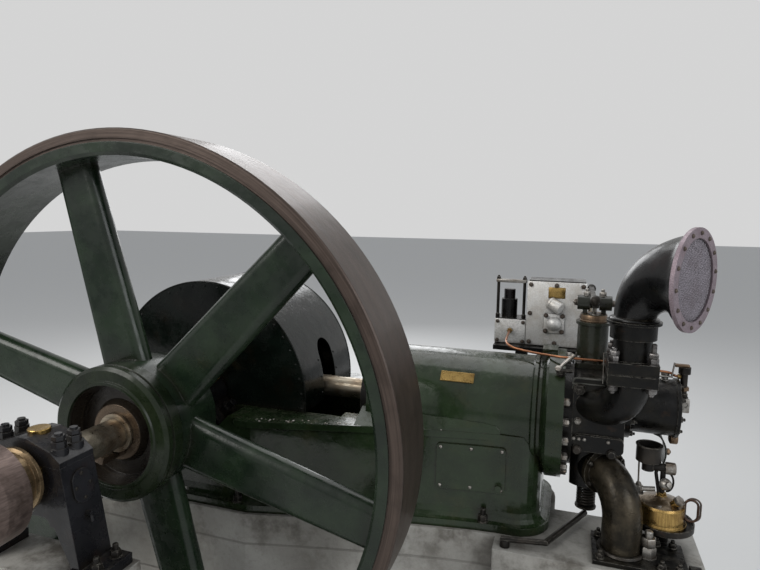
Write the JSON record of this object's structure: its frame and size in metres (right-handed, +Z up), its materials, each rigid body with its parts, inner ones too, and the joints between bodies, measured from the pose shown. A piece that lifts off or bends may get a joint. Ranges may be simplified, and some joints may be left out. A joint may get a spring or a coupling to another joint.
{
  "type": "horizontal oil engine",
  "caption": "Horizontal lamp-start oil engine with a large spoked flywheel, an outboard bearing, a crank guard and a water-jacketed cylinder.",
  "frame": {"origin": "on the floor, under the crossing of the crankshaft axis and the cylinder axis", "axes": "+X along the cylinder from the crank to the head, +Y along the crankshaft away from the flywheel, +Z up"},
  "size_m": [2.8848, 1.866, 2.0899],
  "materials": {
    "concrete": null,
    "green_paint": "glossy dark green enamel over iron, oily",
    "guard_paint": "very dark glossy green paint on sheet steel",
    "black_paint": "black engine paint, dusty and oily",
    "head_iron": "blackened oily cast iron",
    "dark_iron": "dark worn iron",
    "bright_steel": "machined steel with an oil film",
    "rim_steel": "brown machined rim with an oil film",
    "brass": "aged brass and bronze",
    "copper": "aged copper",
    "ring_metal": "dull pinkish metal ring",
    "gauze": "grey wire gauze",
    "aluminium": "bare aluminium plate"
  },
  "bodies": {
    "engine": {"foundation": "concrete", "bed": "green_paint", "bed_door": "green_paint", "water_jacket": "green_paint", "cylinder_liner": "dark_iron", "piston": "bright_steel", "connecting_rod": "bright_steel", "crank_guard": "guard_paint", "main_bearing_caps": "black_paint", "main_brasses": "brass", "pedestal": "black_paint", "pedestal_cap": "black_paint", "pedestal_brasses": "brass", "pedestal_covers": "black_paint", "cylinder_head": "head_iron", "vaporiser": "head_iron", "vaporiser_tap": "dark_iron", "intake_elbow": "head_iron", "intake_neck": "head_iron", "intake_horn": "black_paint", "mouth_ring": "ring_metal", "mouth_gauze": "gauze", "valve_housing": "green_paint", "valve_rocker": "dark_iron", "exhaust_chest": "head_iron", "exhaust_bend": "head_iron", "exhaust_plate": "head_iron", "exhaust_spring": "dark_iron", "exhaust_lever": "dark_iron", "lamp_tank": "brass", "lamp_burner": "dark_iron", "lamp_tray": "dark_iron", "pump_box": "black_paint", "pump_covers": "aluminium", "fuel_pipe": "copper", "jacket_cock": "dark_iron", "name_plate": "brass", "side_shaft": "bright_steel", "side_brackets": "green_paint", "push_rod": "bright_steel"},
    "crank": {"crankshaft": "bright_steel", "big_end_bearing": "brass", "flywheel": "rim_steel", "hub_drum": "green_paint", "end_pulley": "rim_steel", "pulley_collar": "rim_steel"}
  },
  "joints": [
    {"name": "crankshaft_spin", "type": "hinge", "parent": "engine", "child": "crank", "pos_m": [0, 0, 1.09], "axis": [0, 1, 0], "continuous": true}
  ]
}
